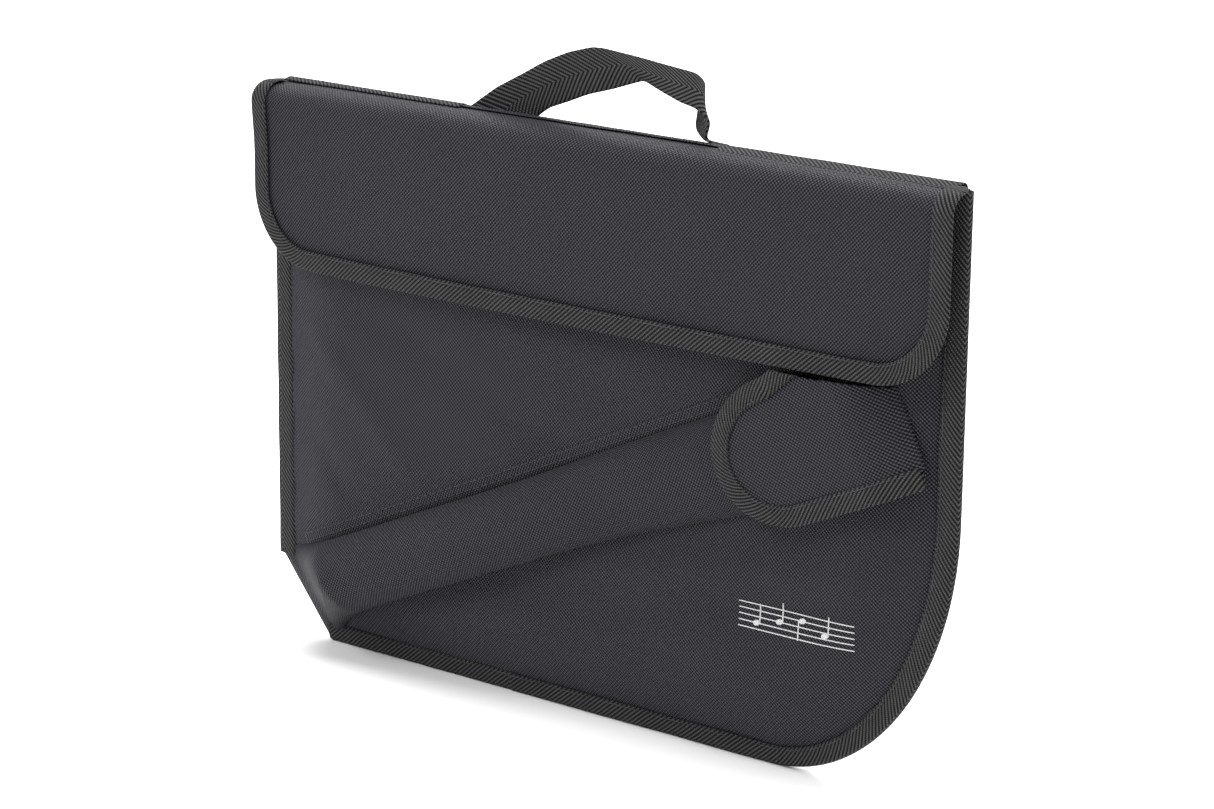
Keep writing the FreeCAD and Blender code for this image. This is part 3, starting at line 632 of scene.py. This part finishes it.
def flap_bend(piece, upper, nodes):
    """Bakes the piece's place into its mesh, the upper and the lower part alike, and hides the nodes it stands
    for.
    """
    if upper:
        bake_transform(piece)
    else:
        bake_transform(piece)
    if nodes:
        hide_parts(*nodes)


def make_flap():
    """The main flap: cloth and lining in two parts that meet at the crease, tape and stitches."""
    parts = [("flap_top_cloth", 0.0, SPLIT, True, ("flap_fold_shell",), 14),
             ("flap_face_cloth", SPLIT, FLAP_LENGTH - 5.0, False, ("flap_shell",), 84)]
    for name, first, last, upper, nodes, rows in parts:
        b = np.linspace(first, last, rows)[:, None] * np.ones((1, 150))
        x = flap_half_width(b, 5.0) * np.linspace(-1, 1, 150)[None, :]
        outer, inner = on_flap(x, b, 0.0), on_flap(x, b, -1.0)
        piece = slab(name, outer, inner, np.stack([x, b], -1), CLOTH, flip=True)
        flap_bend(piece, upper, nodes)
        within = x * 0.992
        lining = slab(name.replace("cloth", "lining"), on_flap(within, b, -1.2), on_flap(within, b, -1.8),
                      np.stack([x, b], -1), CLOTH, flip=True)
        backing = ("flap_fold_lining",) if upper else ("flap_lining", "flap_foam")
        flap_bend(lining, upper, backing)
    section = [(inset, height * 0.62 + 0.3) for inset, height in tape_section(2.4, -3.6, thick=0.6)]
    round_b = FLAP_LENGTH - FLAP_ROUND
    centre = FLAP_HALF - FLAP_ROUND
    low_left = ellipse_points((-centre, round_b), FLAP_ROUND, FLAP_ROUND, 180, 90)
    low_right = ellipse_points((centre, round_b), FLAP_ROUND, FLAP_ROUND, 90, 0)
    around = np.concatenate([[(-FLAP_HALF, SPLIT)], low_left, low_right, [(FLAP_HALF, SPLIT)]])
    piece = edging("flap_edge_tape", around, -1, section, on_flap, TAPE_CLOTH, seed=7)
    flap_bend(piece, False, ("flap_binding",))
    for side, name in ((-1, "left"), (1, "right")):
        top = [(side * (HALF - 3), 1.0), (side * (HALF - 0.5), 3.5), (side * (FLAP_HALF - 0.8), 8.0),
               (side * FLAP_HALF, SPLIT)]
        piece = edging(f"flap_top_tape_{name}", top, side, section, on_flap, TAPE_CLOTH, seed=9 + side)
        flap_bend(piece, True, ())
    radius = FLAP_ROUND - STITCH_INSET
    seam = np.concatenate([[(STITCH_INSET - FLAP_HALF, 30.0)],
                           ellipse_points((-centre, round_b), radius, radius, 180, 90),
                           ellipse_points((centre, round_b), radius, radius, 90, 0),
                           [(FLAP_HALF - STITCH_INSET, 30.0)]])
    row = stitches("flap_edge_stitches", seam, on_flap, 1.95, DARK_THREAD)
    dress(row, "main_flap", "thread")


def make_ridge():
    """Tape over the ridge at both ends and rolled cloth between, with its seam in front."""
    def over(x, b, height):
        """b runs from the back leg's lower edge over the top and onto the flap."""
        b = np.asarray(b, float)
        path = np.array([(-3.3, RIDGE - 14), (-3.2, RIDGE - 3), (-2.4, RIDGE - 0.6), (-0.6, RIDGE + 0.5),
                         (1.4, RIDGE + 0.3), (4.0, RIDGE - 0.2), (8.0, RIDGE - 0.9), (13.0, RIDGE - 2.6)])
        along = np.concatenate([[0], np.cumsum(np.linalg.norm(np.diff(path, axis=0), axis=1))])
        normals = inward(path, 1)
        depth = np.interp(b, along, path[:, 0]) + np.interp(b, along, normals[:, 0]) * height
        tall = np.interp(b, along, path[:, 1]) + np.interp(b, along, normals[:, 1]) * height
        return np.stack([drawn_in(x) * np.ones_like(b), SEAM - depth, tall], -1)

    spans = [("ridge_tape_a", TAPE - 3 - FLAP_HALF, TAPE_LEFT_END + 3, 21.5, 0.9, TAPE_CLOTH,
              ("ridge_tape_left", "fold_tape_left")),
             ("ridge_roll_cloth", TAPE_LEFT_END, TAPE_RIGHT_START, 19.0, 0.45, CLOTH, ("ridge_roll",)),
             ("ridge_tape_b", TAPE_RIGHT_START - 3, FLAP_HALF - TAPE + 3, 26.5, 0.9, TAPE_CLOTH,
              ("ridge_tape_right", "fold_tape_right"))]
    for name, start, end, reach, thick, material, nodes in spans:
        count = int((end - start) / 3)
        x = np.linspace(start, end, count)[:, None] * np.ones((1, 26))
        b = np.linspace(0, reach, 26)[None, :] * np.ones((count, 1))
        b = b + 0.5 * wave_noise(x, b * 0, 21, 12.0) * (b / reach)
        piece = slab(name, over(x, b, thick), over(x, b, 0.1), np.stack([x, b], -1), material)
        flap_bend(piece, True, nodes)


# ---------------------------------------------------------------- slanted sleeve

def sleeve_xz(s, t):
    """The front-view place of a point along and across the sleeve."""
    x = SLEEVE_X + s * math.cos(SLOPE) - t * math.sin(SLOPE)
    z = SLEEVE_Z + s * math.sin(SLOPE) + t * math.cos(SLOPE)
    return x, z


# how high the sleeve stands over the panel along its length
STATION_S = [-12, 0, 6, 16, 30, 52, 90, 150, 200, 250, 300, 345, 400, 450]
STATION_H = [0.5, 9, 14.5, 19.5, 22, 22.5, 22, 19.5, 17, 13.5, 10, 7.4, 6.6, 6.2]


def sleeve_surface():
    """The sleeve's outer face as a grid, with its distances along and round the sleeve."""
    rows, cols = 190, 56
    s = np.linspace(0.0, SLEEVE_MOUTH, rows)[:, None] * np.ones((1, cols))
    turn = np.linspace(0, math.pi, cols)[None, :] * np.ones((rows, 1))
    flare = np.exp(-(s / 26.0) ** 1.6)
    centre = 4.0 * (1 - flare) * (1 - smoothstep(250, 400, s))
    half = 22.5 + 7.5 * smoothstep(200, 420, s) + 9.0 * flare
    tall = np.interp(s, STATION_S, STATION_H)
    tall = tall * (1 + 0.05 * wave_noise(s, turn * 8, 31, 30.0))
    across = centre + half * np.cos(turn) - 0.16 * tall * np.sin(turn) * (1 - smoothstep(300, 420, s))
    height = tall * np.sin(turn) ** 0.72
    # the lower end follows the cut corner
    cut = SLEEVE_END + SLEEVE_END_LEAN * across
    s_real = cut + (s / SLEEVE_MOUTH) * (SLEEVE_MOUTH - cut)
    folds = [(48, -0.5, 13, 1.3), (110, 0.3, 24, -0.9), (180, -0.3, 30, 1.0), (260, 0.2, 26, -0.8)]
    for place, tilt, width, size in folds:
        off = s_real - place - tilt * across
        height = height + size * np.exp(-(off / width) ** 2) * np.sin(turn) * np.clip(tall / 20, 0, 1)
    crease = wave_noise(s_real, across, 33, 9.0) * np.sin(turn) ** 2 * np.clip(tall / 22, 0, 1)
    height = height + 0.3 * crease
    x, z = sleeve_xz(s_real, across)
    inset = edge_distance(x, z)
    depth = front_depth(x, z)
    ramp = np.clip((s_real - cut) / 52, 0, 1)
    dome = 1 - (1 - ramp) ** 1.3
    level = (depth + height) * dome + (1 - dome) * 1.2
    over_panel = smoothstep(0, 6, inset)
    level = np.maximum(level, (depth + 0.5) * over_panel + 1.2 * (1 - over_panel))
    return np.stack([x, SEAM - level, z], -1), s_real, across, half * turn


def sleeve_wrap(outer, s_real, across):
    """Rows of cloth from the back, round the cut corner, to the sleeve's first row."""
    inward_x, inward_z = CHAMFER_RISE / CHAMFER_LENGTH, CHAMFER_RUN / CHAMFER_LENGTH
    wrap = [(11.0, -4.4, 0.9), (7.0, -4.7, 0.9), (3.0, -4.2, 0.8), (0.8, -2.8, 0.3), (0.0, -0.8, -0.1)]
    back_rows, back_inner, back_s = [], [], []
    first_x, first_z, cols = outer[0, :, 0], outer[0, :, 2], outer.shape[1]
    for step, (move, deep, push) in enumerate(wrap):
        wander = 0.3 * wave_noise(across[0], np.full(cols, move), 41, 9.0)
        bx, bz = first_x + (move - 0.4) * inward_x, first_z + (move - 0.4) * inward_z
        back_rows.append(np.stack([bx, np.full(cols, SEAM - deep) + wander * (move > 5), bz], -1))
        tuck = 0.8 * (move < 1)
        back_inner.append(back_rows[-1] + np.array([tuck * inward_x, -push, tuck * inward_z]))
        back_s.append(s_real[0] - 17.0 + 3.6 * step)
    return np.array(back_rows), np.array(back_inner), np.array(back_s)


def on_sleeve_base(a, b, lift):
    """A point over the front panel, placed along and across the sleeve."""
    x, z = sleeve_xz(np.asarray(a, float), np.asarray(b, float))
    return on_front(x, z, lift)


def make_sleeve():
    """The sleeve's cloth: puffed over the stand's place, flat at its mouth, wrapped at its end."""
    front, s_real, across, girth = sleeve_surface()
    wrap_outer, wrap_inner, wrap_s = sleeve_wrap(front, s_real, across)
    outer = np.concatenate([wrap_outer, front])
    inner = np.concatenate([wrap_inner, front + np.array([0.0, 0.9, 0.0])])
    along = np.concatenate([wrap_s, s_real])
    girth = np.concatenate([np.repeat(girth[:1], len(wrap_s), axis=0), girth])
    piece = slab("stand_sleeve_cloth", outer, inner, np.stack([along, girth], -1), CLOTH)
    dress(piece, "bag", "pocket_cloth", "stand_sleeve", "sleeve_end_gusset", "sleeve_end_wrap")

    for number, away in enumerate((3.4, 7.8)):
        row = [(30.0, 26.5 + away), (200.0, 26.6 + away), (SLEEVE_MOUTH - 30, 29.5 + away)]
        piece = stitches(f"sleeve_top_stitches_{number}", row, on_sleeve_base, 0.62, DARK_THREAD)
        dress(piece, "bag", "thread")
    band = [(24.0, 35.6), (200.0, 35.8), (SLEEVE_MOUTH - 26, 38.8)]
    flat = [(0.0, 0.2), (0.6, 0.55), (4.6, 0.5), (10.3, 0.45), (10.3, -0.4), (0.0, -0.4)]
    piece = edging("sleeve_top_allowance", band, -1, flat, on_sleeve_base, CLOTH, pucker=0.3, seed=43)
    dress(piece, "bag", "pocket_cloth")


# ---------------------------------------------------------------- flap over the sleeve's mouth

def on_small(s, t, height):
    """A point of the D-shaped flap: a ramp at its hinge, then nearly flat, bowed across."""
    s, t = np.asarray(s, float), np.asarray(t, float)
    from_hinge = SMALL_HINGE - s
    rise = np.interp(from_hinge, [0, 4, 12, 22, 30, 120], [-7.6, -3.6, 1.4, 5.4, 7.0, 9.2])
    bow = -1.1 * (t / SMALL_SIDE) ** 2 * smoothstep(20, 60, from_hinge)
    lift = np.asarray(height, float) + rise + bow + 0.3 * wave_noise(s, t, 51, 18.0)
    x, z = sleeve_xz(s, t)
    return np.stack([x, SEAM - SMALL_FOOT - lift, z], -1)


def small_bend(piece, slot, *nodes):
    """Bakes the piece's place into its mesh and hides the nodes it stands for."""

    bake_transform(piece)
    if nodes:
        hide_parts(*nodes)


def on_small_below(s, t, height):
    """The same surface, kept below the main flap's lower edge."""
    return on_small(s, np.minimum(np.asarray(t, float), hem_t(s)), height)


def hem_t(s):
    """How far across the sleeve the small flap may reach before it meets the main flap."""
    return (SMALL_CLEAR - SLEEVE_Z - np.asarray(s, float) * math.sin(SLOPE)) / math.cos(SLOPE)


def make_small_flap():
    """Cloth, lining, tape and stitches of the D-shaped flap."""
    layers = [
        ("sleeve_flap_cloth", 5.0, 2.6, 1.7, "pocket_cloth", ("sleeve_flap_shell", "sleeve_flap_anchor")),
        ("sleeve_flap_inner", 6.0, 1.5, 0.7, "lining_cloth", ("sleeve_flap_lining",)),
    ]
    rows, cols = 70, 44
    for name, border, top, bottom, slot, nodes in layers:
        s_low = SMALL_CENTRE - SMALL_REACH + border
        s = np.linspace(s_low, SMALL_HINGE, rows)[:, None] * np.ones((1, cols))
        off = np.clip((SMALL_CENTRE - s) / (SMALL_REACH - border), 0, 1)
        side = (SMALL_SIDE - border) * np.sqrt(1 - off * off)
        flared = side + 0.33 * np.clip(s - SMALL_CENTRE, 0, None)
        upper = np.minimum(flared, hem_t(s) - 0.2)
        corner = 5.0 * smoothstep(SMALL_HINGE - 8, SMALL_HINGE, s)
        t = -side + corner + (upper + side - corner) * np.linspace(0, 1, cols)[None, :]
        outer, inner = on_small(s, t, top), on_small(s, t, bottom)
        small_bend(slab(name, outer, inner, np.stack([s, t], -1), CLOTH), slot, *nodes)
    left = ellipse_points((SMALL_CENTRE, 0.0), SMALL_REACH, SMALL_SIDE, 90, 270, 70)
    under_main = (SMALL_CENTRE + 36, SMALL_SIDE + 12)
    around = np.concatenate([[under_main], left, [(SMALL_HINGE - 1.5, -SMALL_SIDE)]])
    section = [(inset, 0.42 * height + 1.9) for inset, height in tape_section(3.4, -4.4, thick=0.8)]
    piece = edging("sleeve_flap_tape", around, 1, section, on_small_below, TAPE_CLOTH, seed=53)
    small_bend(piece, "edge_tape", "sleeve_flap_binding")
    reach, side = SMALL_REACH - STITCH_INSET, SMALL_SIDE - STITCH_INSET
    seam = np.concatenate([
        ellipse_points((SMALL_CENTRE, 0.0), reach, side, 90, 270, 60), [(SMALL_HINGE - 6, -side)]])
    small_bend(stitches("sleeve_flap_stitches", seam, on_small_below, 3.35, DARK_THREAD), "thread")


# ---------------------------------------------------------------- handle

def make_handle():
    """A twisted ribbon: flat as it climbs, turned over its crest, edge-on down its right leg."""
    # both edges of the ribbon: x, height above the ridge and depth of the upper, then of the lower one,
    # and last how far the ribbon leans back there, clear of the opened flap
    table = np.array([
        (-98, -2.5, -1.4, -49, -2.5, -1.0, 0.3), (-75, 13.5, -1.4, -44, 1.8, -1.0, 0.6),
        (-58, 22.5, -1.6, -37, 6.5, -1.0, 0.6), (-41, 32, -1.6, -25, 11, -0.8, 0.6),
        (-24, 39.2, -1.6, -11, 16.8, -0.6, 0.6), (-8, 43.7, -1.6, 8, 22.5, 0, 0.7),
        (-0.6, 44.2, -1.6, 30, 30.2, 1.6, 1.0), (22, 41.6, -4, 43, 26.4, 4, 1.0),
        (45, 38.4, -6, 56.6, 23.1, 6, 1.0), (60, 36.6, -7, 69, 20.6, 6, 1.0),
        (64.6, 31, -10, 72, 19.0, 6, 1.0), (59.5, 20.2, -10.6, 77.0, 16.0, 5, 1.1),
        (58.6, 13.2, -11.0, 77, 12.4, 4, 1.2), (58.0, 6.0, -9.6, 75, 7.6, 3, 1.2),
        (63.5, 3.4, -7, 73, 4.4, 2, 1.0), (69, 1.8, -3.6, 77, 2.0, 2.0, 0.8),
        (84, 1.2, -2.8, 88, 1.0, 1.2, 0.5),
    ])
    full_lean = np.array([2.3, 1.0, 3.0, 2.3, 1.0, 3.0])
    stations = table[:, :6] - table[:, 6:] * full_lean
    stations[:, [1, 4]] += RIDGE
    middle = (stations[:, :3] + stations[:, 3:]) / 2
    knots = np.concatenate([[0], np.cumsum(np.linalg.norm(np.diff(middle, axis=0), axis=1))])
    fine = np.linspace(0, knots[-1], 170)
    edges = np.stack([np.interp(fine, knots, stations[:, k]) for k in range(6)], 1)
    for _ in range(7):
        edges[1:-1] = (edges[:-2] + 2 * edges[1:-1] + edges[2:]) / 4
    upper = np.stack([edges[:, 0], SEAM - edges[:, 2], edges[:, 1]], -1)[:, None, :]
    lower = np.stack([edges[:, 3], SEAM - edges[:, 5], edges[:, 4]], -1)[:, None, :]
    share = np.linspace(0, 1, 17)[None, :, None]
    outer = upper + (lower - upper) * share
    run = np.gradient(outer, axis=0)
    side = np.gradient(outer, axis=1)
    face = np.cross(run, side)
    face /= np.linalg.norm(face, axis=2)[:, :, None] + 1e-9
    cupped = 2.0 * share * (1 - share)
    outer = outer - face * cupped
    inner = outer + face * 1.4
    steps = np.linalg.norm(np.diff(outer, axis=0), axis=2)
    start = outer[0, :, 0] * 0.86 + outer[0, :, 2] * 0.5
    along = start[None, :] + np.concatenate([np.zeros((1, 17)), np.cumsum(steps, axis=0)])
    ribbon_width = 25.0
    coords = np.stack([along, share[0, :, 0][None, :] * ribbon_width * np.ones_like(along)], -1)
    piece = slab("handle_ribbon", outer, inner, coords, HANDLE_CLOTH)
    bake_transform(piece)
    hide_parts("handle_strap")


# ---------------------------------------------------------------- embroidered badge

def make_badge():
    """A plain embroidered stave with simple notes."""
    low_x, high_x = EMBLEM_LOW[0], EMBLEM_HIGH[0]
    low_z, high_z = EMBLEM_LOW[2], EMBLEM_HIGH[2]
    lines = np.linspace(low_z + 4, high_z - 4, 5)
    for number, z in enumerate(lines):
        flat = [(-0.35, 0.1), (-0.3, 0.5), (0.3, 0.5), (0.35, 0.1)]
        piece = edging(f"badge_line_{number}", [(low_x, z), (high_x, z)], 1, flat, on_front,
                       PALE_THREAD, pucker=0.0)
        dress(piece, "bag", "thread")
    gap = lines[1] - lines[0]
    notes = [(0.16, 1, 1), (0.36, 2, 1), (0.56, 3, -1), (0.76, 1.5, 1)]
    for number, (share, step, way) in enumerate(notes):
        x, z = low_x + share * (high_x - low_x), lines[0] + step * gap
        rings, sides = 5, 20
        turns = np.linspace(0, 2 * math.pi, sides, endpoint=False)
        radii = np.linspace(1.0, 0.05, rings)[:, None]
        flat_x = x + radii * (2.6 * np.cos(turns) * 0.95 - 1.7 * np.sin(turns) * 0.30)
        flat_z = z + radii * (1.7 * np.sin(turns) * 0.95 + 2.6 * np.cos(turns) * 0.30)
        dome = 0.15 + 0.55 * np.sqrt(1 - radii ** 2) * np.ones((1, sides))
        points = on_front(flat_x, flat_z, dome).reshape(-1, 3)
        faces = grid_faces(rings, sides, closed=True, flip=True)
        faces.append(tuple(range((rings - 1) * sides, rings * sides))[::-1])
        faces.append(tuple(range(sides)))
        coords = np.zeros((len(points), 2))
        piece = make_object(f"badge_note_{number}", points, faces, coords, PALE_THREAD)
        dress(piece, "bag", "thread")
        side_x = x + 2.2 * way
        stem = [(side_x, z), (side_x, z + way * 3.2 * gap)]
        flat = [(-0.4, 0.1), (-0.3, 0.6), (0.3, 0.6), (0.4, 0.1)]
        piece = edging(f"badge_stem_{number}", stem, 1, flat, on_front, PALE_THREAD, pucker=0.0)
        dress(piece, "bag", "thread", *(("emblem",) if number == 0 else ()))


make_panels()
make_edge_tapes()
make_flap()
make_ridge()
make_sleeve()
make_small_flap()
make_handle()
make_badge()


# ---------------------------------------------------------------- floor, light and camera

def make_stage():
    """A pale floor under an even white sky."""
    mesh = bpy.data.meshes.new("floor")
    size = 6.0
    corners = [(-size, -size, 0), (size, -size, 0), (size, size, 0), (-size, size, 0)]
    mesh.from_pydata(corners, [], [(0, 1, 2, 3)])
    floor = bpy.data.objects.new("floor", mesh)
    bpy.context.scene.collection.objects.link(floor)
    material = bpy.data.materials.new("pale_floor")
    material.use_nodes = True
    shader = material.node_tree.nodes["Principled BSDF"]
    shader.inputs["Base Color"].default_value = (0.92, 0.92, 0.92, 1)
    shader.inputs["Roughness"].default_value = 0.9
    mesh.materials.append(material)
    world = bpy.data.worlds.new("studio")
    bpy.context.scene.world = world
    world.use_nodes = True
    sky = world.node_tree.nodes["Background"]
    sky.inputs["Color"].default_value = (1.0, 1.0, 1.0, 1)
    sky.inputs["Strength"].default_value = 0.50
    bpy.context.scene.view_settings.view_transform = "Standard"


def add_light(name, place, aim, size, power):
    """A rectangular light at a place in metres, aimed at a point."""
    data = bpy.data.lights.new(name, "AREA")
    data.shape = "RECTANGLE"
    data.size, data.size_y = size
    data.energy = power
    lamp = bpy.data.objects.new(name, data)
    lamp.location = place
    lamp.rotation_euler = (Vector(aim) - Vector(place)).to_track_quat("-Z", "Y").to_euler()
    bpy.context.scene.collection.objects.link(lamp)


def make_camera():
    """The view: distance and angles of a product shot with a long lens."""
    azimuth, elevation, roll = math.radians(37.43), math.radians(15.475), math.radians(0.617)
    forward = Vector((-math.sin(azimuth) * math.cos(elevation), math.cos(azimuth) * math.cos(elevation),
                      -math.sin(elevation)))
    level = Vector((math.cos(azimuth), math.sin(azimuth), 0))
    upright = level.cross(forward)
    right = level * math.cos(roll) + upright * math.sin(roll)
    up = upright * math.cos(roll) - level * math.sin(roll)
    distance, to_right, to_up = 2.016, 0.0051, 0.0122
    target = Vector((0, SEAM * MM, 0.170))
    place = target - forward * distance + right * to_right + up * to_up
    data = bpy.data.cameras.new("camera")
    data.lens = 106.75
    data.sensor_width = 36.0
    data.clip_start, data.clip_end = 0.05, 50
    camera = bpy.data.objects.new("camera", data)
    matrix = Matrix((right, up, -forward)).transposed().to_4x4()
    matrix.translation = place
    camera.matrix_world = matrix
    bpy.context.scene.collection.objects.link(camera)
    bpy.context.scene.camera = camera


# name, place, aim, size in metres and power in watts
LIGHTS = [
    ("top", (0.7, 0.3, 3.6), (0, 0, 0.1), (2.6, 2.6), 185),
    ("front", (-1.4, -3.2, 3.9), (0, 0, 0.2), (2.6, 2.2), 130),
    ("side", (3.0, -1.4, 1.8), (0, 0, 0.2), (1.2, 1.6), 8),
    ("backdrop", (-2.6, 3.6, 3.2), (-2.6, 3.8, 0), (5.0, 3.0), 320),
]

make_stage()
for light in LIGHTS:
    add_light(*light)
make_camera()
